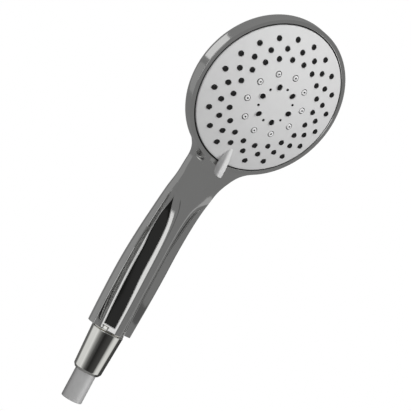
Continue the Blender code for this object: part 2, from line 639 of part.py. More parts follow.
def make_hose_end():
    nut = [(12.1, NUT_TOP), (12.5, 16.3), (10.95, -14.8), (9.6, NUT_BOTTOM), (8.5, NUT_BOTTOM), (8.5, 1.2),
           (10.75, 1.2), (10.75, NUT_TOP)]
    turned("hose_nut", nut, CHROME, segments=36, ring=True)
    ferrule = [(7.6, -2.0), (8.15, -2.6), (8.15, -39.6), (7.8, -40.0), (5.9, -40.0), (5.9, -2.0)]
    turned("hose_ferrule", ferrule, CHROME, segments=28, ring=True)
    tail = [(10.3, 4.4), (10.3, 2.8), (5.6, 2.8), (5.6, -34.5), (5.0, -36.0), (4.2, -36.0), (4.2, 4.4)]
    turned("hose_tail", tail, BRASS, segments=24, ring=True)
    ring = [(10.3, 2.5), (10.3, 1.5), (6.2, 1.5), (6.2, 2.5)]
    turned("tail_ring", ring, INNER_WHITE, segments=24, ring=True)
    washer = [(10.2, 6.5), (10.2, 4.7), (6.5, 4.7), (6.5, 6.5)]
    turned("hose_washer", washer, SEAL_RUBBER, segments=24, ring=True)
    torus("tail_o_ring", 6.9, 0.8, 0.0, SEAL_RUBBER, around=20, across=5)


make_handle_shell()
make_inlays()
make_spray_plate()
make_nozzle_mat()
make_mist_inserts()
make_distributor()
make_manifold()
make_pivot()
make_turbine()
torus("plate_seal_ring", 52.8, 0.7, -5.85, SEAL_RUBBER, SELECTOR_AXIS, around=32, across=5)
make_detent()
make_inlet()
make_waterway()
make_hose_end()
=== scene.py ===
"""Looks of the handheld shower head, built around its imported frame.

Pieces are made in millimetres and scaled to metres; the studio at the end is in metres. Points are
(side, forward, height), where forward is -Y, the spray side.
"""
import json
import math

import bmesh
import bpy
from mathutils import Matrix, Vector


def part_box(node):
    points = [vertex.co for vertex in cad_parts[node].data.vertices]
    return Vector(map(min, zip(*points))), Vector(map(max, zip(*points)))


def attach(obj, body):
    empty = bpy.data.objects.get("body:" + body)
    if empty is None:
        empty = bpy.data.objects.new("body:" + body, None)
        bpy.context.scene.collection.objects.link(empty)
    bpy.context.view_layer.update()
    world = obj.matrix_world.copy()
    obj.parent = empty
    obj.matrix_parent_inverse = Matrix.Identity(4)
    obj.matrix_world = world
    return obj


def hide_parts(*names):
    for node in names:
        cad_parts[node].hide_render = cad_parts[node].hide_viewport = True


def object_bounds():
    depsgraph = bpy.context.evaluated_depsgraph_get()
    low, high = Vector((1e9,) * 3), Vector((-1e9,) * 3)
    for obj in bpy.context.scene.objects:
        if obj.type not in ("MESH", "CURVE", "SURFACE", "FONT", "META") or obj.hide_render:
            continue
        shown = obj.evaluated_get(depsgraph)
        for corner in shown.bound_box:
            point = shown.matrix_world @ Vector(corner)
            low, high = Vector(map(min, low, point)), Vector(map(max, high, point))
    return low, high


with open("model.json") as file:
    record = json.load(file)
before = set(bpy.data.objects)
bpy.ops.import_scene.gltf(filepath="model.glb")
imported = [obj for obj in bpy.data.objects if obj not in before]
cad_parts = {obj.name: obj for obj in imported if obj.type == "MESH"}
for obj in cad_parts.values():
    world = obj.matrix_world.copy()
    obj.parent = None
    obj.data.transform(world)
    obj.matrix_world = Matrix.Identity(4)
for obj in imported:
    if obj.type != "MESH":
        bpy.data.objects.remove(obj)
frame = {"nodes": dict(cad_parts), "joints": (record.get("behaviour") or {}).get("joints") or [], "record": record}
CAD_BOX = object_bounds()
MM = 0.001
BOX_MARGIN = 1e-6

# ---------------------------------------------------------------- sizes shared with the frame
SELECTOR = next(joint for joint in frame["joints"] if joint["name"] == "spray_selector")
HEAD_CENTRE = Vector(SELECTOR["pos_m"]) / MM
FACE_TILT = math.degrees(math.atan2(-SELECTOR["axis"][2], -SELECTOR["axis"][1]))
HEAD_RADIUS = (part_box("handle_shell")[1].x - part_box("handle_shell")[0].x) / 2 / MM
HANDLE_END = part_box("handle_shell")[0].z / MM
NUT_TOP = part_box("hose_nut")[1].z / MM
NUT_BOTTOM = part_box("hose_nut")[0].z / MM
NUT_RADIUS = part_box("hose_nut")[1].x / MM
FERRULE_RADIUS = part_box("hose_ferrule")[1].x / MM
FERRULE_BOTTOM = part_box("hose_ferrule")[0].z / MM
COLLAR_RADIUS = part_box("end_collar")[1].x / MM

# ---------------------------------------------------------------- sizes read off the photograph
RIM_FRONT = -4.1
WALL_BACK = -12.05
DOME_DEPTH = 19.05
HEAD_BORE = 56.8
NECK_START = 150.0
NECK_BASE = 142.0
RIDGE_TOP = 131.6
SCOOP_SLOPE_END = 0.8
SCOOP_ROUND = 0.1
RIDGE_ROUND = ((18, 0.9), (60, 1.4), (100, 1.9), (131, 2.5))
EDGE_ROUND = 0.7
HANDLE_EDGE_ROUND = 1.9
INLAY_BOTTOM = 22.0
INLAY_TIP = 126.0
INLAY_THICKNESS = 1.5
INLAY_GAP = 0.12
INLAY_LIP_SHARE = 0.035
INLAY_LIP_TOP = 98
INLAY_LIP_FADE = 16
BEAD_RADIUS = 0.34
BEAD_INNER_DEPTH = 0.1
# Known fault: depths go inwards, so this lifts the bead's outer run off the flank. Meant to sink it.
BEAD_OUTER_DEPTH = -1.0
SOCKET_RADIUS = 11.5
# Where the head's last section meets the neck, down its centre, edge, wall and back.
NECK_TOP_CENTRE = 159.8
NECK_TOP_EDGE = 167.7
NECK_TOP_WALL = 169.1
NECK_TOP_BACK = 171.5
# The head's back swells towards the neck from this far below its centre.
NECK_SWELL = 3.5
NECK_SWELL_START = 25
NECK_SWELL_REACH = 27
NECK_SWELL_POWER = 3.4
CORNER_STEPS = 4
WALL_STEPS = 4
BACK_STEPS = 22
DOME_STEPS = 23
INLAY_STEPS = 12
BEAD_SIDES = 12

# Lines of the handle as (height, value) pairs. Widths and forward places are in millimetres, shares are
# of the half-width (ridge) or of the flank (crease and inlay), the ratio is of the flank's length.
HALF_WIDTH = ((18.2, 17.5), (42, 18.2), (66, 18.4), (90, 17.8), (113, 17.3), (130, 17.2), (142, 17.3),
              (151, 19.4), (158.5, 21.8), (163.5, 25.2), (167.7, 30.0))
EDGE_FORWARD = ((18.2, 4.7), (66, 5.9), (90, 6.8), (113, 8.9), (130, 11.8), (142, 15.5), (151, 18.6),
                (158.5, 22.6), (163.5, 26.4), (167.7, 30.6))
WALL_FORWARD = ((18.2, -0.4), (66, 0.3), (90, 1.4), (113, 4.2), (130, 6.8), (142, 9.6), (151, 13.0),
                (158, 16.5), (169.1, 22.8))
CENTRE_FORWARD = ((18.2, 14.2), (42, 14.5), (66, 14.7), (113, 14.9), (130, 15.0), (142, 16.8),
                  (151.4, 20.6), (159.8, 29.1))
BACK_FORWARD = ((18.2, -13.6), (42, -13.6), (66, -13.3), (90, -11.4), (113, -8.1), (130, -4.3),
                (142, 0.0), (151, 3.8), (158, 6.8), (165, 8.9), (171.5, 10.0))
RIDGE_SHARE = ((18.2, 0.143), (75, 0.16), (104, 0.2), (115, 0.27), (122, 0.37), (126, 0.5), (129, 0.72),
               (131, 0.93), (131.6, 0.985))
CREASE_SHARE = ((18, 0.73), (40, 0.765), (68, 0.8), (84, 0.815), (96, 0.825), (131, 0.82))
SCOOP_RATIO = ((18.2, 0.225), (24, 0.28), (34, 0.33), (50, 0.365), (84, 0.36), (96, 0.33), (106, 0.29),
               (118, 0.26), (131.6, 0.1))
INLAY_INNER = ((22, 0.13), (37, 0.13), (49, 0.155), (65, 0.2), (86, 0.21), (102, 0.245), (110, 0.305),
               (121, 0.46), (126, 0.52))
INLAY_OUTER = ((22, 0.63), (40, 0.66), (68, 0.69), (84, 0.7), (96, 0.735), (110, 0.74), (118, 0.66),
               (126, 0.54))

LEVER_ANGLE = -95.3
DOME_TOP = 7.6
DOME_RING = 47.6
NOZZLE_PROUD = 0.8
PLATE_RADIUS = 56.0
PLATE_DOME_END = 54.6
PLATE_WALL = 54.2
PLATE_BACK = -9.4
PLATE_THICKNESS = 2.2
# (radius, angle off the lever, count, first one made) of each ring: the lever takes one of the first's.
OUTER_RINGS = ((47.6, 0.0, 20, 1), (40.6, 9.0, 20, 0), (33.7, 0.0, 20, 0))
MIST_RADIUS = 23.1
MIST_COUNT = 10
MASSAGE_RADIUS = 13.46
MASSAGE_COUNT = 6
HOLE_TOP = 3
HOLE_BOTTOM = -5
NOZZLE_HOLE = 2.14
MIST_HOLE = 2.45
SMALL_HOLE = 1.05
MASSAGE_HOLE = 2.35
MASSAGE_SQUASH = 0.86
COLLAR_SQUASH = 0.87

LEVER_SUBDIVISION = 3
LEVER_TAPER = 0.84
LEVER_CORNER = 0.9
# The lever's middle is to one side of its radius, and leans across it with the distance from its root.
LEVER_OFFSET = -1.05
LEVER_LEAN = 0.15
LEVER_ROOT = 44.5

# ---------------------------------------------------------------- studio sizes, in metres unless noted
CAMERA_PLACE = Vector((-0.7706, -1.1012, 0.2087))
CAMERA_RIGHT = Vector((0.7307, -0.4931, 0.4721))
CAMERA_UP = Vector((-0.3533, 0.3186, 0.8796))
CAMERA_BACK = Vector((-0.5841, -0.8095, 0.0586))
LENS_LENGTH = 163.83
LENS_SENSOR = 36.0
LAMP_TARGET = (0.0, -0.05, 0.2)
BACKDROP_RADIUS = 4.0
FLOOR_SIZE = 5.0
FLOOR_HEIGHT = -0.25
WORLD_LOW = 0.195
WORLD_HIGH = 0.24
# The ring of cards round the nut, in millimetres.
RING_RADIUS = 34.0
RING_BOTTOM = -50
RING_TOP = 13
RING_SIDES = 96

HEAD = Matrix.Translation(HEAD_CENTRE) @ Matrix.Rotation(math.radians(90 + FACE_TILT), 4, "X")


# ---------------------------------------------------------------- helpers
def curve_value(pairs, at):
    """Smooth value between (place, value) pairs, by a cubic through them."""
    places = [pair[0] for pair in pairs]
    values = [pair[1] for pair in pairs]
    if at <= places[0]:
        return values[0]
    if at >= places[-1]:
        return values[-1]
    i = max(k for k in range(len(places) - 1) if places[k] <= at)

    def slope(k):
        low = max(k - 1, 0)
        high = min(k + 1, len(places) - 1)
        return (values[high] - values[low]) / (places[high] - places[low])

    span = places[i + 1] - places[i]
    t = (at - places[i]) / span
    return ((2 * t**3 - 3 * t**2 + 1) * values[i] + (t**3 - 2 * t**2 + t) * span * slope(i)
            + (3 * t**2 - 2 * t**3) * values[i + 1] + (t**3 - t**2) * span * slope(i + 1))


def ease(value, low, high):
    t = min(max((value - low) / (high - low), 0.0), 1.0)
    return t * t * (3 - 2 * t)


def steps(low, high, count):
    return [low + (high - low) * k / count for k in range(count + 1)]


def polar(radius, degrees):
    return radius * math.cos(math.radians(degrees)), radius * math.sin(math.radians(degrees))


def head_point(x, y, z):
    """A point of the head frame as (side, forward, height)."""
    place = HEAD @ Vector((x, y, z))
    return place.x, -place.y, place.z


def mesh_object(name, body, material=None, matrix=None, sharp=32):
    """A bmesh in millimetres as an object in metres, its faces pointing out."""
    bmesh.ops.recalc_face_normals(body, faces=body.faces)
    if matrix is not None:
        bmesh.ops.transform(body, matrix=matrix, verts=body.verts)
    bmesh.ops.scale(body, vec=(MM, MM, MM), verts=body.verts)
    mesh = bpy.data.meshes.new(name)
    body.to_mesh(mesh)
    body.free()
    mesh.shade_smooth()
    mesh.set_sharp_from_angle(angle=math.radians(sharp))
    made = bpy.data.objects.new(name, mesh)
    bpy.context.scene.collection.objects.link(made)
    if material is not None:
        mesh.materials.append(material)
    return made


def loft_body(rings):
    """A bmesh through rings of equal length, closed at both ends."""
    body = bmesh.new()
    rows = [[body.verts.new((side, -forward, height)) for side, forward, height in ring] for ring in rings]
    count = len(rows[0])
    for lower, upper in zip(rows, rows[1:]):
        for k in range(count):
            body.faces.new((lower[k], lower[(k + 1) % count], upper[(k + 1) % count], upper[k]))
    body.faces.new(rows[0])
    body.faces.new(list(reversed(rows[-1])))
    return body


def arc(start, corner, end, count):
    """Points of an arc from start to end that bends round a corner."""
    return [start * (1 - t)**2 + corner * 2 * t * (1 - t) + end * t**2 for t in steps(0.0, 1.0, count)]


def rounded(profile, radius):
    """A closed profile with its corners rounded by arcs that keep clear of the neighbouring corners."""
    smooth = []
    total = len(profile)
    for k, corner in enumerate(profile):
        corner = Vector(corner)
        before = Vector(profile[k - 1]) - corner
        after = Vector(profile[(k + 1) % total]) - corner
        reach = min(radius, before.length * 0.45, after.length * 0.45)
        start = corner + before.normalized() * reach
        end = corner + after.normalized() * reach
        smooth += arc(start, corner, end, CORNER_STEPS)
    return smooth


def turned_rows(body, outline, segments, matrix, squash_y=1.0):
    """Vertices of (radius, height) points turned round Z, one row for each step of the turn."""
    rows = []
    for k in range(segments):
        turn = 2 * math.pi * k / segments
        rows.append([body.verts.new(matrix @ Vector((r * math.cos(turn), r * math.sin(turn) * squash_y, z)))
                     for r, z in outline])
    return rows


def add_ring(body, outline, segments, matrix, squash_y=1.0):
    """Add a ring turned round Z from a closed outline of (radius, height) points."""
    rows = turned_rows(body, outline, segments, matrix, squash_y)
    for k in range(segments):
        here = rows[k]
        there = rows[(k + 1) % segments]
        for i in range(len(outline)):
            j = (i + 1) % len(outline)
            body.faces.new((here[i], there[i], there[j], here[j]))


def turned_body(profile, segments, radius):
    """A ring turned round Z from a closed profile of (radius, height) points, its corners rounded."""
    body = bmesh.new()
    add_ring(body, rounded(profile, radius), segments, Matrix.Identity(4))
    return body


def turned_solid(outline, segments, matrix):
    """A solid of revolution with flat ends, from (radius, height) points running down."""
    body = bmesh.new()
    rows = turned_rows(body, outline, segments, matrix)
    for k in range(segments):
        here = rows[k]
        there = rows[(k + 1) % segments]
        for i in range(len(outline) - 1):
            body.faces.new((here[i], there[i], there[i + 1], here[i + 1]))
    body.faces.new([row[0] for row in rows])
    body.faces.new([row[-1] for row in reversed(rows)])
    return body


def cut(target, body, name):
    """Cut a body away from a piece at once and drop the cutter."""
    cutter = mesh_object(name, body)
    change = target.modifiers.new(name, "BOOLEAN")
    change.operation = "DIFFERENCE"
    change.object = cutter
    change.solver = "EXACT"
    bpy.context.view_layer.update()
    done = bpy.data.meshes.new_from_object(target.evaluated_get(bpy.context.evaluated_depsgraph_get()))
    target.modifiers.clear()
    target.data = done
    bpy.data.objects.remove(cutter, do_unlink=True)


def even_normals(piece, sharp):
    """Mark the sharp edges of a piece that has been cut, and even the shading between them."""
    piece.data.set_sharp_from_angle(angle=math.radians(sharp))
    weighted = piece.modifiers.new("weighted", "WEIGHTED_NORMAL")
    weighted.keep_sharp = True


# ---------------------------------------------------------------- materials
def principled(name, colour, roughness, metallic=0.0, specular=0.5):
    made = bpy.data.materials.new(name)
    made.use_nodes = True
    shader = made.node_tree.nodes["Principled BSDF"]
    shader.inputs["Base Color"].default_value = (*colour, 1.0)
    shader.inputs["Roughness"].default_value = roughness
    shader.inputs["Metallic"].default_value = metallic
    shader.inputs["Specular IOR Level"].default_value = specular
    return made


def add_detail(made, grain_scale, bump, rough_low, rough_high, stretch=(1, 1, 1), *, tone):
    """Fine surface detail: noise drives the roughness, a slight bump and slight changes of the colour."""
    nodes = made.node_tree.nodes
    links = made.node_tree.links
    shader = nodes["Principled BSDF"]
    place = nodes.new("ShaderNodeTexCoord")
    mapping = nodes.new("ShaderNodeMapping")
    mapping.inputs["Scale"].default_value = stretch
    links.new(place.outputs["Object"], mapping.inputs["Vector"])
    noise = nodes.new("ShaderNodeTexNoise")
    noise.inputs["Scale"].default_value = grain_scale
    noise.inputs["Detail"].default_value = 4.0
    links.new(mapping.outputs["Vector"], noise.inputs["Vector"])
    spread = nodes.new("ShaderNodeMapRange")
    spread.inputs["From Min"].default_value = 0.3
    spread.inputs["From Max"].default_value = 0.7
    spread.inputs["To Min"].default_value = rough_low
    spread.inputs["To Max"].default_value = rough_high
    links.new(noise.outputs["Fac"], spread.inputs["Value"])
    links.new(spread.outputs["Result"], shader.inputs["Roughness"])
    relief = nodes.new("ShaderNodeBump")
    relief.inputs["Strength"].default_value = bump
    relief.inputs["Distance"].default_value = 0.00005
    links.new(noise.outputs["Fac"], relief.inputs["Height"])
    links.new(relief.outputs["Normal"], shader.inputs["Normal"])
    base = shader.inputs["Base Color"].default_value
    broad = nodes.new("ShaderNodeTexNoise")
    broad.inputs["Scale"].default_value = grain_scale / 12
    links.new(place.outputs["Object"], broad.inputs["Vector"])
    ramp = nodes.new("ShaderNodeValToRGB")
    ramp.color_ramp.elements[0].position = 0.3
    ramp.color_ramp.elements[1].position = 0.7
    ramp.color_ramp.elements[0].color = (*(c * (1 - tone) for c in base[:3]), 1.0)
    ramp.color_ramp.elements[1].color = (*(min(c * (1 + tone), 1.0) for c in base[:3]), 1.0)
    links.new(broad.outputs["Fac"], ramp.inputs["Fac"])
    links.new(ramp.outputs["Color"], shader.inputs["Base Color"])
    return made


BODY_CHROME = add_detail(principled("body_chrome", (0.80, 0.80, 0.79), 0.1, 1.0), 900, 0.02, 0.07, 0.13,
                         tone=0.01)
NUT_CHROME = add_detail(principled("nut_chrome", (0.86, 0.86, 0.83), 0.08, 1.0), 1200, 0.01, 0.05, 0.1,
                        (1, 1, 0.2), tone=0.01)
SATIN_CHROME = add_detail(principled("satin_chrome", (0.6, 0.6, 0.6), 0.4, 0.3), 900, 0.006, 0.34, 0.4,
                          (1, 1, 0.1), tone=0.01)
PLATE_GREY = add_detail(principled("plate_grey", (0.70, 0.70, 0.70), 0.42), 2500, 0.06, 0.38, 0.5, tone=0.012)
NOZZLE_RUBBER = add_detail(principled("nozzle_rubber", (0.012, 0.012, 0.012), 0.5), 3000, 0.1, 0.42, 0.6,
                           tone=0.1)
GLOSS_BLACK = add_detail(principled("gloss_black", (0.009, 0.009, 0.008), 0.1, specular=0.25), 1500, 0.02,
                         0.08, 0.14, tone=0.05)
MIST_GREY = add_detail(principled("mist_grey", (0.86, 0.86, 0.86), 0.3), 2500, 0.04, 0.25, 0.36, tone=0.015)
# Flat black used only for painted shade: in the outlet holes, the mist orifices and the gap round the plate.
PAINTED_SHADE_BLACK = add_detail(principled("painted_shade_black", (0.006, 0.006, 0.006), 0.6), 3000, 0.1, 0.55, 0.7, tone=0.1)
BRASS = add_detail(principled("brass", (0.62, 0.47, 0.2), 0.3, 1.0), 1500, 0.05, 0.22, 0.36, (1, 1, 0.1),
                   tone=0.05)
ACETAL = add_detail(principled("acetal", (0.78, 0.78, 0.74), 0.45), 1800, 0.05, 0.4, 0.52, tone=0.02)
STEEL = add_detail(principled("steel", (0.6, 0.6, 0.6), 0.28, 1.0), 1800, 0.05, 0.22, 0.34, tone=0.03)
SEAL_RUBBER = add_detail(principled("seal_rubber", (0.02, 0.02, 0.02), 0.6), 2500, 0.1, 0.5, 0.7, tone=0.1)


# ---------------------------------------------------------------- outer form of the handle and head
def arch_share(share):
    """How far a front line has dropped at this share of its half-width: an arc of the head's rim."""
    reach = math.sin(math.radians(180 - NECK_START))
    return (1 - math.sqrt(1 - (share * reach)**2)) / (1 - math.sqrt(1 - reach**2))


def arch_point(height, share):
    """A point of the handle's front before the flanks are scooped out of it."""
    centre = curve_value(CENTRE_FORWARD, height)
    edge = curve_value(EDGE_FORWARD, height)
    return curve_value(HALF_WIDTH, height) * share, centre + (edge - centre) * arch_share(share), height


def flank_corners(height):
    """The ridge's edge and the side edge at a height, as (side, forward)."""
    return (Vector(arch_point(height, curve_value(RIDGE_SHARE, height))[:2]),
            Vector(arch_point(height, 1.0)[:2]))


def flank_point(height, share, depth=0.0):
    """A point on a flank: share runs from the ridge (0) to the side edge (1), depth goes inwards."""
    ridge, edge = flank_corners(height)
    across = (edge - ridge).normalized()
    inward = Vector((across.y, -across.x))
    crease = curve_value(CREASE_SHARE, height)
    inner = share / SCOOP_SLOPE_END
    outer = (1 - share) / (1 - crease) * crease / SCOOP_SLOPE_END
    blend = max(SCOOP_ROUND * 4 - abs(inner - outer), 0.0)
    part = min(inner, outer) - blend**2 / (SCOOP_ROUND * 16)
    scoop = curve_value(SCOOP_RATIO, height) * (edge - ridge).length * part
    place = ridge + (edge - ridge) * share + inward * (depth + scoop)
    return place.x, place.y, height


def bend(before, corner, after, reach, count=5):
    """An arc that rounds a corner, between points at most a given distance from it."""
    corner = Vector(corner)
    before = Vector(before) - corner
    after = Vector(after) - corner
    start = corner + before.normalized() * min(reach, before.length * 0.48)
    end = corner + after.normalized() * min(reach, after.length * 0.48)
    return [tuple(point) for point in arc(start, corner, end, count)]


def wall_points(corner, wall):
    """The side wall of a half section, from just past its rounded edge."""
    return [tuple(Vector(corner).lerp(Vector(wall), t)) for t in steps(0.15, 1.0, WALL_STEPS)]


def back_points(width, start, end, power):
    """The back of a half section, a rounded quarter from the wall's end to the middle of the back."""
    points = []
    for k in range(1, BACK_STEPS + 1):
        angle = math.radians(90 * k / (BACK_STEPS + 1))
        around = math.cos(angle)**(2 / power)
        inward = math.sin(angle)**(2 / power)
        points.append((width * around, start[0] + (end[0] - start[0]) * inward,
                       start[1] + (end[1] - start[1]) * inward))
    points.append((0.0, end[0], end[1]))
    return points


def mirrored(half):
    """A whole section from its half, which starts and ends in the middle."""
    return half + [(-side, forward, height) for side, forward, height in reversed(half[1:-1])]


FRONT_SHARES = steps(0.0, 0.92, 24) + [0.96]


def front_and_wall(front, corner, wall, round_reach):
    """A half section's front line, its rounded side edge and its side wall."""
    edge = bend(front[-1], corner, wall, round_reach)
    half = [point for point in front if (Vector(point) - Vector(corner)).length > round_reach * 1.2 + 0.05
            or point is front[0]]
    while len(half) < len(front):
        half.append(tuple(Vector(half[-1]).lerp(Vector(edge[0]), 0.5)))
    return half + edge + wall_points(edge[-1], wall)


def head_section(angle):
    """A section across the head, at an angle round its centre from the top."""
    y = HEAD_RADIUS * math.cos(math.radians(angle))
    width = HEAD_RADIUS * math.sin(math.radians(angle))
    bulge = HEAD_RADIUS * (1 + math.cos(math.radians(NECK_START))) * ease(angle, 95, NECK_START)

    def front_point(share):
        return head_point(width * share, y - bulge * (1 - arch_share(share)), RIM_FRONT)

    front = [front_point(share) for share in FRONT_SHARES]
    wall = head_point(width, y, WALL_BACK)
    half = front_and_wall(front, front_point(1.0), wall, min(EDGE_ROUND, width * 0.3))
    swell = NECK_SWELL * max((-NECK_SWELL_START - y) / NECK_SWELL_REACH, 0.0)**NECK_SWELL_POWER
    depth = DOME_DEPTH * math.sqrt(1 - (y / HEAD_RADIUS)**2) + swell
    for k in range(1, DOME_STEPS + 1):
        turn = math.radians(90 * k / DOME_STEPS)
        side = width * math.cos(turn) if k < DOME_STEPS else 0.0
        half.append(head_point(side, y, WALL_BACK - depth * math.sin(turn)))
    half[0] = (0.0, half[0][1], half[0][2])
    return mirrored(half)


def neck_section(share):
    """A section of the neck, from the head's last one (0) to the handle's first level one (1)."""
    centre_height = NECK_TOP_CENTRE + (NECK_BASE - NECK_TOP_CENTRE) * share
    edge_height = NECK_TOP_EDGE + (NECK_BASE - NECK_TOP_EDGE) * share
    wall_height = NECK_TOP_WALL + (NECK_BASE - NECK_TOP_WALL) * share
    back_height = NECK_TOP_BACK + (NECK_BASE - NECK_TOP_BACK) * share
    width = curve_value(HALF_WIDTH, edge_height)
    centre = curve_value(CENTRE_FORWARD, centre_height)
    edge = curve_value(EDGE_FORWARD, edge_height)

    def front_point(part):
        drop = arch_share(part)
        return (width * part, centre + (edge - centre) * drop,
                centre_height + (edge_height - centre_height) * drop)

    wall = (width, curve_value(WALL_FORWARD, wall_height), wall_height)
    reach = EDGE_ROUND + (HANDLE_EDGE_ROUND - EDGE_ROUND) * share
    half = front_and_wall([front_point(part) for part in FRONT_SHARES], front_point(1.0), wall, reach)
    middle = (curve_value(BACK_FORWARD, back_height), back_height)
    half += back_points(width, wall[1:], middle, 2.0 + 0.1 * share)
    return mirrored(half)


def ridge_front(height):
    """The front of a level section below the ridge's top: the ridge, its rounding and the scooped flank."""
    width = curve_value(HALF_WIDTH, height)
    ridge, corner = flank_corners(height)
    length = (corner - ridge).length
    reach = min(curve_value(RIDGE_ROUND, height), ridge.x * 0.8, length * 0.3)
    inner = (ridge.x - reach) / width
    start = reach / length
    front = [arch_point(height, inner * t) for t in steps(0.0, 1.0, 9)][:-1]
    front += bend(arch_point(height, inner), (ridge.x, ridge.y, height), flank_point(height, 0.5), reach, 4)
    crease = curve_value(CREASE_SHARE, height)
    front += [flank_point(height, start + (crease - 0.08 - start) * t) for t in (0.33, 0.67, 1.0)]
    front += [flank_point(height, crease + t) for t in (-0.06, -0.045, -0.03, -0.015, 0.0, 0.015, 0.03, 0.05)]
    front.append(flank_point(height, 0.93))
    return front


def handle_section(height):
    """A level section: a ridge with rounded edges, its two scooped flanks, the side walls and the back."""
    width = curve_value(HALF_WIDTH, height)
    wall = (width, curve_value(WALL_FORWARD, height), height)
    if height >= RIDGE_TOP:
        blend = ease(height, RIDGE_TOP, NECK_BASE)
        top = ridge_front(RIDGE_TOP - 0.02)
        shares = [point[0] / curve_value(HALF_WIDTH, RIDGE_TOP) for point in top]
        shares = [share + (even - share) * blend for share, even in zip(shares, FRONT_SHARES)]
        half = front_and_wall([arch_point(height, share) for share in shares], arch_point(height, 1.0), wall,
                              HANDLE_EDGE_ROUND * min((height - RIDGE_TOP) / 8 + 0.15, 1.0))
    else:
        corner = flank_corners(height)[1]
        length = (corner - flank_corners(height)[0]).length
        half = front_and_wall(ridge_front(height), (corner.x, corner.y, height), wall,
                              min(HANDLE_EDGE_ROUND, length * 0.08))
    half += back_points(width, wall[1:], (curve_value(BACK_FORWARD, height), height), 2.1)
    return mirrored(half)


def inlay_shares(height, grow):
    """The inner and outer edge of the inlay at a height, grown both ways, as shares of the flank."""
    ridge, edge = flank_corners(height)
    spread = grow / (edge - ridge).length
    lip = INLAY_LIP_SHARE * ease(INLAY_LIP_TOP - height, 0, INLAY_LIP_FADE)
    return curve_value(INLAY_INNER, height) - spread, curve_value(INLAY_OUTER, height) + spread - lip


def inlay_body(side, grow, top, bottom, crown=0.0):
    """A strip along the flank between two depths, its top crowned when it is the inlay itself."""
    heights = steps(INLAY_BOTTOM - grow, INLAY_TIP + grow, 70)
    rings = []
    for height in heights:
        low, high = inlay_shares(height, grow)
        ring = []
        for k in range(INLAY_STEPS + 1):
            t = k / INLAY_STEPS
            ring.append(flank_point(height, low + (high - low) * t, top - crown * 4 * t * (1 - t)))
        for k in range(INLAY_STEPS, -1, -1):
            ring.append(flank_point(height, low + (high - low) * k / INLAY_STEPS, bottom))
        rings.append([(side * x, forward, z) for x, forward, z in ring])
    return loft_body(rings)


def bead_route(side):
    """A closed route round an inlay. The inner run lies along the flank; the outer run stands off it, and
    so do the ends that lead to it (see BEAD_OUTER_DEPTH)."""
    outset = BEAD_RADIUS * 0.9
    heights = steps(INLAY_BOTTOM, INLAY_TIP, 80)
    up = [flank_point(height, inlay_shares(height, outset)[1], BEAD_OUTER_DEPTH) for height in heights]
    down = [flank_point(height, inlay_shares(height, outset)[0], BEAD_INNER_DEPTH)
            for height in reversed(heights)]
    low, high = inlay_shares(INLAY_BOTTOM, outset)
    bottom = [flank_point(INLAY_BOTTOM - BEAD_RADIUS, low + (high - low) * t, BEAD_INNER_DEPTH)
              for t in steps(0.02, 0.98, 10)]
    tip = [flank_point(INLAY_TIP + BEAD_RADIUS, 0.53, BEAD_INNER_DEPTH)]
    return [(side * x, forward, z) for x, forward, z in up + tip + down + bottom]


def tube_body(route, radius):
    """A closed round bead along a closed route."""
    body = bmesh.new()
    rows = []
    total = len(route)
    for k, point in enumerate(route):
        here = Vector((point[0], -point[1], point[2]))
        before = Vector((route[k - 1][0], -route[k - 1][1], route[k - 1][2]))
        after = Vector((route[(k + 1) % total][0], -route[(k + 1) % total][1], route[(k + 1) % total][2]))
        along = (after - before).normalized()
        out = Vector((math.copysign(0.5, point[0]), -0.85, 0))
        across = along.cross(out).normalized()
        up = across.cross(along).normalized()
        rows.append([body.verts.new(here + (across * math.cos(a) + up * math.sin(a)) * radius)
                     for a in (2 * math.pi * i / BEAD_SIDES for i in range(BEAD_SIDES))])
    for k in range(total):
        here = rows[k]
        there = rows[(k + 1) % total]
        for i in range(BEAD_SIDES):
            j = (i + 1) % BEAD_SIDES
            body.faces.new((here[i], here[j], there[j], there[i]))
    return body


def make_body():
    """The chromed body with its mouth, socket and inlay pockets, then the inlays and their beads."""
    rings = [head_section(angle) for angle in [1.0] + steps(2.0, NECK_START, 74)]
    rings += [neck_section(share) for share in steps(0.0, 1.0, 24)[1:-1]]
    heights = steps(NECK_BASE, 132, 6) + steps(RIDGE_TOP, 129, 6) + steps(128.5, 112.5, 40)
    heights += steps(112, HANDLE_END + 0.5, 150) + [HANDLE_END]
    rings += [handle_section(height) for height in heights]
    shell = mesh_object("body_skin", loft_body(rings), BODY_CHROME, sharp=35)
    mouth = [(HEAD_BORE + 0.4, 10.0), (HEAD_BORE + 0.4, RIM_FRONT - 0.1), (HEAD_BORE, RIM_FRONT - 0.5),
             (HEAD_BORE, -11.5), (53.0, -17.0), (46.0, -20.5)]
    cut(shell, turned_solid(mouth, 192, HEAD), "mouth")
    socket = [(SOCKET_RADIUS, 20.5), (SOCKET_RADIUS, 14.0)]
    cut(shell, turned_solid(socket, 96, Matrix.Identity(4)), "socket")
    for side in (-1, 1):
        cut(shell, inlay_body(side, INLAY_GAP, -1.5, INLAY_THICKNESS + 0.3), "pocket")
    even_normals(shell, 35)
    finish_piece(shell, "handle", "chrome", "handle_shell")
    for side, label in ((-1, "left"), (1, "right")):
        strip = inlay_body(side, 0.0, 0.12, INLAY_THICKNESS, 0.1)
        inlay = mesh_object("inlay_" + label, strip, GLOSS_BLACK, sharp=40)
        finish_piece(inlay, "handle", "gloss_black", "side_inlay_" + label)
        tube = tube_body(bead_route(side), BEAD_RADIUS)
        bead = mesh_object("inlay_bead_" + label, tube, BODY_CHROME, sharp=80)
        finish_piece(bead, "handle", "chrome")


def finish_piece(piece, body, slot, *nodes):
    """Hide the frame's nodes that a piece replaces, hang it on what it rides on, and keep it inside the part's
    box. The slot argument is not used.
    """
    low, high = CAD_BOX
    for vertex in piece.data.vertices:
        vertex.co = [min(max(vertex.co[i], low[i] + BOX_MARGIN), high[i] - BOX_MARGIN) for i in range(3)]
    if nodes:
        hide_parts(*nodes)
    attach(piece, body)


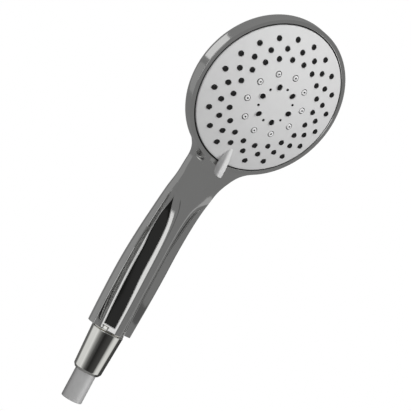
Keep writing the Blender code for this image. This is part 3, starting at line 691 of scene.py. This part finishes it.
# ---------------------------------------------------------------- spray face
def plate_top(radius):
    """The height of the plate's front at a radius, in the head frame."""
    return DOME_TOP * (1 - (radius / DOME_RING)**2) - NOZZLE_PROUD


def outer_nozzles():
    """The (radius, angle) of each rubber nozzle."""
    return [(radius, LEVER_ANGLE + offset + 360 / count * k) for radius, offset, count, first in OUTER_RINGS
            for k in range(first, count)]


def mist_places():
    """The (radius, angle) of each mist insert."""
    return [(MIST_RADIUS, LEVER_ANGLE + 360 / MIST_COUNT * k) for k in range(MIST_COUNT)]


def face_normal(radius, degrees):
    """The dome's normal at a place on the plate, in the head frame."""
    slope = 2 * DOME_TOP * radius / DOME_RING**2
    x, y = polar(1.0, degrees)
    return Vector((x * slope, y * slope, 1.0)).normalized()


def place_on_plate(radius, degrees, lean):
    """A frame on the plate with +Z out of it, leaning this share of the way with the dome."""
    x, y = polar(radius, degrees)
    out = Vector((0, 0, 1)).lerp(face_normal(radius, degrees), lean).normalized()
    turn = Vector((0, 0, 1)).rotation_difference(out).to_matrix().to_4x4()
    spin = Matrix.Rotation(math.radians(degrees), 4, "Z")
    return Matrix.Translation((x, y, plate_top(radius))) @ turn @ spin


def add_turned(body, outline, matrix, segments, squash_y=1.0):
    """Add a turned knob to a bmesh: outline points (radius, height) from its middle top down to its foot."""
    rows = []
    for radius, height in outline:
        if radius == 0:
            rows.append([body.verts.new(matrix @ Vector((0, 0, height)))])
            continue
        turns = [2 * math.pi * k / segments for k in range(segments)]
        places = [(radius * math.cos(a), radius * math.sin(a) * squash_y, height) for a in turns]
        rows.append([body.verts.new(matrix @ Vector(place)) for place in places])
    for upper, lower in zip(rows, rows[1:]):
        for k in range(segments):
            j = (k + 1) % segments
            if len(upper) == 1:
                body.faces.new((upper[0], lower[k], lower[j]))
            else:
                body.faces.new((upper[k], lower[k], lower[j], upper[j]))
    body.faces.new(list(reversed(rows[-1])))


def make_plate():
    """The domed plate with a hole for each nozzle, insert and outlet."""
    top = [(radius, plate_top(radius)) for radius in steps(0.0, PLATE_DOME_END, 60)[1:]]
    rim = [(55.3, plate_top(55.3) - 0.03), (55.7, plate_top(55.7) - 0.15),
           (55.93, plate_top(PLATE_RADIUS) - 0.42), (PLATE_RADIUS, -4.9)]
    back = [(PLATE_RADIUS, PLATE_BACK), (PLATE_WALL, PLATE_BACK), (PLATE_WALL, -6.0)]
    back += [(radius, plate_top(radius) - PLATE_THICKNESS) for radius in (50.0, 40.0, 30.0, 20.0, 10.0)]
    outline = [(0.0, plate_top(0.0))] + top + rim + back
    body = bmesh.new()
    add_turned(body, outline, Matrix.Identity(4), 160)
    plate = mesh_object("plate", body, PLATE_GREY, HEAD, sharp=40)
    holes = bmesh.new()

    def drill(radius, angle, size, segments, squash_y=1.0):
        add_turned(holes, [(0, HOLE_TOP), (size, HOLE_TOP), (size, HOLE_BOTTOM)],
                   HEAD @ place_on_plate(radius, angle, 0.0), segments, squash_y)

    for radius, angle in outer_nozzles():
        drill(radius, angle, NOZZLE_HOLE, 24)
    for radius, angle in mist_places():
        drill(radius, angle, MIST_HOLE, 28)
    for k in range(MASSAGE_COUNT):
        angle = LEVER_ANGLE + 60 * k
        drill(MASSAGE_RADIUS, angle, SMALL_HOLE, 16)
        drill(MASSAGE_RADIUS, angle + 30, MASSAGE_HOLE, 28, MASSAGE_SQUASH)
    cut(plate, holes, "outlet_holes")
    even_normals(plate, 40)
    finish_piece(plate, "selector", "plate_grey", "spray_plate")


def make_lever():
    """The selector lever: rounded stations of (along, half width, top, bottom), smoothed by subdivision."""
    stations = ((43.0, 1.4, 0.6, -1.0), (45.0, 1.9, 1.1, -1.4), (47.8, 2.3, 2.1, -2.0),
                (51.0, 2.7, 3.1, -3.0), (54.5, 3.0, 3.8, -3.6), (58.0, 3.2, 4.4, -3.2),
                (61.5, 3.2, 4.75, -2.3), (63.6, 3.2, 4.8, -1.0), (64.8, 3.0, 4.7, 0.4),
                (65.2, 2.4, 4.3, 1.2))
    turn = Matrix.Rotation(math.radians(LEVER_ANGLE), 4, "Z")
    rings = []
    for along, half, top, bottom in stations:
        middle = LEVER_OFFSET + LEVER_LEAN * (along - LEVER_ROOT)
        corner = min(LEVER_CORNER, (top - bottom) / 3, half / 2)
        crest = half * LEVER_TAPER
        outline = ((half, bottom + corner), (crest, top - corner), (crest - corner, top),
                   (corner - crest, top), (-crest, top - corner), (-half, bottom + corner),
                   (corner - half, bottom), (half - corner, bottom))
        ring = []
        for across, z in outline:
            place = HEAD @ turn @ Vector((along, middle + across, z))
            ring.append((place.x, -place.y, place.z))
        rings.append(ring)
    lever = mesh_object("selector_lever", loft_body(rings), PLATE_GREY, sharp=180)
    smooth = lever.modifiers.new("smooth", "SUBSURF")
    smooth.levels = LEVER_SUBDIVISION
    smooth.render_levels = LEVER_SUBDIVISION
    finish_piece(lever, "selector", "plate_grey")


def make_nozzles():
    """The rubber nozzles, in one piece as on the mat they belong to."""
    tips = bmesh.new()
    outline = [(0, -0.25), (0.32, -0.22), (0.42, 0.62), (0.6, 0.8), (1.2, 0.84), (1.6, 0.74), (1.8, 0.5),
               (1.93, 0.1), (2.0, -0.6), (2.0, -3.0)]
    for radius, angle in outer_nozzles():
        add_turned(tips, outline, HEAD @ place_on_plate(radius, angle, 0.0), 24)
    nozzles = mesh_object("nozzles", tips, NOZZLE_RUBBER, sharp=60)
    finish_piece(nozzles, "selector", "nozzle_rubber", "nozzle_mat")


def make_mist_inserts():
    """The mist inserts, each with a black disc in its middle as painted shade for its orifice."""
    outline = [(0, 0.0), (0.66, 0.02), (0.72, 0.42), (0.9, 0.55), (1.3, 0.55), (1.65, 0.42), (1.85, 0.12),
               (1.92, -0.4), (1.92, -2.0)]
    for number, (radius, angle) in enumerate(mist_places(), 1):
        name = f"mist_insert_{number:02d}"
        body = bmesh.new()
        add_turned(body, outline, HEAD @ place_on_plate(radius, angle, 0.3), 32)
        insert = mesh_object(f"mist_nozzle_{number:02d}", body, MIST_GREY, sharp=50)
        finish_piece(insert, "selector", "mist_grey", name)
        # A black disc sunk in the insert's middle: painted shade in the orifice.
        orifice_shade = bmesh.new()
        add_turned(orifice_shade, [(0, 0.34), (0.66, 0.32), (0.7, -0.2)], HEAD @ place_on_plate(radius, angle, 0.3), 16)
        finish_piece(mesh_object(f"mist_orifice_shade_{number:02d}", orifice_shade, PAINTED_SHADE_BLACK), "selector", "nozzle_rubber")


def make_massage_rims():
    """A low collar round each massage outlet, and black discs inside the outlets and mist holes as painted shade.
    """
    collars = bmesh.new()
    profile = ((2.37, -0.6), (2.4, 0.24), (2.55, 0.42), (2.8, 0.38), (3.1, 0.05), (3.2, -0.6))
    for k in range(MASSAGE_COUNT):
        matrix = HEAD @ place_on_plate(MASSAGE_RADIUS, LEVER_ANGLE + 30 + 60 * k, 0.3)
        add_ring(collars, profile, 36, matrix, COLLAR_SQUASH)
    finish_piece(mesh_object("massage_collars", collars, PLATE_GREY, sharp=60), "selector", "plate_grey")
    # Black discs just under the plate in each outlet and round each mist insert: painted shade in the holes.
    hole_shade = bmesh.new()
    for k in range(MASSAGE_COUNT):
        angle = LEVER_ANGLE + 60 * k
        add_turned(hole_shade, [(0, -0.25), (1.02, -0.25), (1.02, -1.6)],
                   HEAD @ place_on_plate(MASSAGE_RADIUS, angle, 0.0), 16)
        add_turned(hole_shade, [(0, -0.6), (1.0, -0.55), (2.32, -0.3), (2.32, -1.6)],
                   HEAD @ place_on_plate(MASSAGE_RADIUS, angle + 30, 0.0), 28, MASSAGE_SQUASH)
    for radius, angle in mist_places():
        add_turned(hole_shade, [(0, -0.35), (2.42, -0.35), (2.42, -1.6)],
                   HEAD @ place_on_plate(radius, angle, 0.0), 28)
    finish_piece(mesh_object("outlet_painted_shade", hole_shade, PAINTED_SHADE_BLACK), "selector", "nozzle_rubber")


def make_face_gap():
    """A black ring in the gap between the plate and the bezel: painted shade that darkens the gap all round."""
    profile = [(56.12, -4.45), (57.0, -4.45), (57.0, -7.5), (56.12, -7.5)]
    gap_shade = mesh_object("face_gap_painted_shade", turned_body(profile, 192, 0.1), PAINTED_SHADE_BLACK, HEAD, sharp=50)
    finish_piece(gap_shade, "handle", "seal_rubber")


# ---------------------------------------------------------------- hose end
def make_nut():
    """The conical swivel nut."""
    profile = [(NUT_RADIUS - 0.5, NUT_TOP), (NUT_RADIUS, NUT_TOP - 0.4), (10.95, -14.8), (9.4, NUT_BOTTOM),
               (8.5, NUT_BOTTOM), (8.5, 1.2), (10.75, 1.2), (10.75, NUT_TOP)]
    nut = mesh_object("cone_nut", turned_body(profile, 160, 0.45), NUT_CHROME, sharp=50)
    finish_piece(nut, "nut", "chrome", "hose_nut")


def make_ferrule():
    """The hose ferrule below the nut."""
    profile = [(7.6, -2.0), (FERRULE_RADIUS, -2.6), (FERRULE_RADIUS, FERRULE_BOTTOM + 0.3),
               (7.9, FERRULE_BOTTOM), (5.9, FERRULE_BOTTOM), (5.9, -2.0)]
    ferrule = mesh_object("ferrule", turned_body(profile, 128, 0.2), SATIN_CHROME, sharp=50)
    finish_piece(ferrule, "hose_end", "chrome", "hose_ferrule")


def make_collar():
    """The collar that closes the handle's lower end."""
    profile = [(9.1, 20.2), (11.2, 20.2), (11.2, 17.9), (COLLAR_RADIUS, 17.9), (COLLAR_RADIUS, 17.0),
               (9.1, 17.0)]
    collar = mesh_object("handle_collar", turned_body(profile, 128, 0.2), NUT_CHROME, sharp=50)
    finish_piece(collar, "handle", "chrome", "end_collar")


def paint_inner_nodes():
    """Better finishes for the frame's own inner pieces, which stay as they are."""
    finishes = {"brass": BRASS, "inner_acetal": ACETAL, "steel": STEEL, "seal_rubber": SEAL_RUBBER,
                "gloss_black": GLOSS_BLACK}
    slots = {entry["node"]: entry["material_slot"] for entry in frame["record"]["subparts"]}
    for name, node in frame["nodes"].items():
        if slots.get(name) in finishes:
            for place in node.material_slots:
                place.material = finishes[slots[name]]


# ---------------------------------------------------------------- studio
def emission(name, strength):
    """A white glow."""
    made = bpy.data.materials.new(name)
    made.use_nodes = True
    nodes = made.node_tree.nodes
    nodes.clear()
    glow = nodes.new("ShaderNodeEmission")
    glow.inputs["Color"].default_value = (1.0, 1.0, 1.0, 1.0)
    glow.inputs["Strength"].default_value = strength
    out = nodes.new("ShaderNodeOutputMaterial")
    made.node_tree.links.new(glow.outputs["Emission"], out.inputs["Surface"])
    return made


def hide_from(piece, camera=False, glossy=False):
    """Keep a piece of staging from lighting or shading the object, and from the rays named."""
    piece.visible_camera = not camera
    piece.visible_glossy = not glossy
    piece.visible_diffuse = False
    piece.visible_shadow = False
    piece.visible_transmission = False


def card(name, towards, distance, width, height, strength, around):
    """A card that only reflections see, at a distance from a place and facing it."""
    direction = Vector(towards).normalized()
    bpy.ops.mesh.primitive_plane_add(size=1.0)
    made = bpy.context.object
    made.name = name
    made.scale = (width, height, 1.0)
    made.location = Vector(around) + direction * distance
    made.rotation_euler = direction.to_track_quat("Z", "Y").to_euler()
    made.data.materials.append(emission(name, strength))
    hide_from(made, camera=True)


def nut_surround():
    """A low ring round the nut that only reflections see, so that its chrome has two bright flanks and a
    dark middle. Its pattern is fixed in the world, with the dark middle towards the photograph's camera."""
    body = bmesh.new()
    turns = [2 * math.pi * k / RING_SIDES for k in range(RING_SIDES)]
    low = [body.verts.new((RING_RADIUS * math.cos(a), RING_RADIUS * math.sin(a), RING_BOTTOM)) for a in turns]
    high = [body.verts.new((RING_RADIUS * math.cos(a), RING_RADIUS * math.sin(a), RING_TOP)) for a in turns]
    for k in range(RING_SIDES):
        j = (k + 1) % RING_SIDES
        body.faces.new((low[k], low[j], high[j], high[k]))
    made = bpy.data.materials.new("nut_surround")
    made.use_nodes = True
    nodes = made.node_tree.nodes
    links = made.node_tree.links
    nodes.clear()
    place = nodes.new("ShaderNodeTexCoord")
    split = nodes.new("ShaderNodeSeparateXYZ")
    links.new(place.outputs["Object"], split.inputs["Vector"])
    turn = nodes.new("ShaderNodeMath")
    turn.operation = "ARCTAN2"
    links.new(split.outputs["Y"], turn.inputs[0])
    links.new(split.outputs["X"], turn.inputs[1])
    spread = nodes.new("ShaderNodeMapRange")
    spread.inputs["From Min"].default_value = -math.pi
    spread.inputs["From Max"].default_value = math.pi
    links.new(turn.outputs["Value"], spread.inputs["Value"])
    ramp = nodes.new("ShaderNodeValToRGB")
    links.new(spread.outputs["Result"], ramp.inputs["Fac"])
    glow = nodes.new("ShaderNodeEmission")
    links.new(ramp.outputs["Color"], glow.inputs["Color"])
    out = nodes.new("ShaderNodeOutputMaterial")
    links.new(glow.outputs["Emission"], out.inputs["Surface"])
    # Brightness by the angle from the side that faces CAMERA_PLACE: to the right, seen from there, is plus.
    facing = math.degrees(math.atan2(CAMERA_PLACE.y, CAMERA_PLACE.x))
    levels = ((-178, 0.1), (-104, 0.13), (-90, 0.7), (-48, 0.74), (-34, 0.3), (-18, 0.08), (0, 0.018),
              (22, 0.045), (44, 0.06), (54, 0.5), (66, 0.72), (86, 0.68), (94, 0.06), (150, 0.03))
    stops = sorted((((facing + angle + 180) % 360) / 360, level) for angle, level in levels)
    elements = ramp.color_ramp.elements
    elements[0].position = stops[0][0]
    elements[1].position = stops[-1][0]
    elements[0].color = (stops[0][1], stops[0][1], stops[0][1] * 0.99, 1.0)
    elements[1].color = (stops[-1][1], stops[-1][1], stops[-1][1] * 0.99, 1.0)
    for position, level in stops[1:-1]:
        stop = elements.new(position)
        stop.color = (level, level, level * 0.985, 1.0)
    ring = mesh_object("nut_surround", body, made)
    hide_from(ring, camera=True)


def area(name, place, size, power):
    """A round lamp aimed at the object, not seen by the camera or in reflections."""
    light = bpy.data.lights.new(name, "AREA")
    light.shape = "DISK"
    light.size = size
    light.energy = power
    lamp = bpy.data.objects.new(name, light)
    bpy.context.scene.collection.objects.link(lamp)
    lamp.location = place
    lamp.rotation_euler = (Vector(place) - Vector(LAMP_TARGET)).to_track_quat("Z", "Y").to_euler()
    lamp.visible_camera = False
    lamp.visible_glossy = False


def make_world():
    """An even grey studio with a slightly lighter ceiling."""
    world = bpy.data.worlds.new("studio")
    bpy.context.scene.world = world
    world.use_nodes = True
    nodes = world.node_tree.nodes
    links = world.node_tree.links
    place = nodes.new("ShaderNodeTexCoord")
    split = nodes.new("ShaderNodeSeparateXYZ")
    links.new(place.outputs["Generated"], split.inputs["Vector"])
    ramp = nodes.new("ShaderNodeValToRGB")
    ramp.color_ramp.elements[0].color = (WORLD_LOW, WORLD_LOW, WORLD_LOW, 1.0)
    ramp.color_ramp.elements[1].color = (WORLD_HIGH, WORLD_HIGH, WORLD_HIGH, 1.0)
    links.new(split.outputs["Z"], ramp.inputs["Fac"])
    links.new(ramp.outputs["Color"], nodes["Background"].inputs["Color"])
    nodes["Background"].inputs["Strength"].default_value = 1.0


def make_camera():
    """The photograph's camera, as fitted."""
    lens = bpy.data.cameras.new("camera")
    lens.lens = LENS_LENGTH
    lens.sensor_width = LENS_SENSOR
    camera = bpy.data.objects.new("camera", lens)
    bpy.context.scene.collection.objects.link(camera)
    turn = Matrix((CAMERA_RIGHT, CAMERA_UP, CAMERA_BACK)).transposed().to_4x4()
    camera.matrix_world = Matrix.Translation(CAMERA_PLACE) @ turn
    bpy.context.scene.camera = camera


def make_stage():
    """A white floor and a white backdrop round the object, which only the camera sees."""
    bpy.ops.mesh.primitive_uv_sphere_add(segments=48, ring_count=24, radius=BACKDROP_RADIUS)
    backdrop = bpy.context.object
    backdrop.name = "backdrop"
    backdrop.data.materials.append(emission("backdrop_white", 1.0))
    hide_from(backdrop, glossy=True)
    bpy.ops.mesh.primitive_plane_add(size=FLOOR_SIZE, location=(0, 0, FLOOR_HEIGHT))
    floor = bpy.context.object
    floor.name = "floor"
    floor.data.materials.append(emission("floor_white", 1.0))
    hide_from(floor, glossy=True)


bpy.context.scene.view_settings.view_transform = "Standard"
make_camera()
make_world()
make_stage()
nut_surround()
card("rim_softbox", (-0.53, 0.8, 0.27), 1.0, 0.36, 0.42, 0.7, (-0.055, -0.045, 0.24))
card("left_softbox", (-0.885, -0.465, 0.0), 1.0, 0.5, 0.8, 0.85, (0.0, -0.01, 0.09))
card("side_glow", (-0.584, 0.81, -0.1), 1.0, 0.5, 0.5, 0.29, (0.0, 0.0, 0.06))
card("front_shade", (-0.10, -0.99, -0.05), 1.0, 0.3, 0.5, 0.1, (0.0, 0.0, 0.05))
card("right_glow", (0.97, -0.24, -0.05), 1.0, 0.6, 0.6, 0.37, (0.0, 0.0, 0.05))
area("key", (1.0, -2.9, 0.7), 1.4, 58.0)
area("fill", (-2.2, -2.0, 0.3), 1.6, 16.0)
area("top", (0.2, -1.2, 2.6), 1.5, 18.0)

make_body()
make_plate()
make_lever()
make_nozzles()
make_mist_inserts()
make_massage_rims()
make_face_gap()
make_nut()
make_ferrule()
make_collar()
paint_inner_nodes()
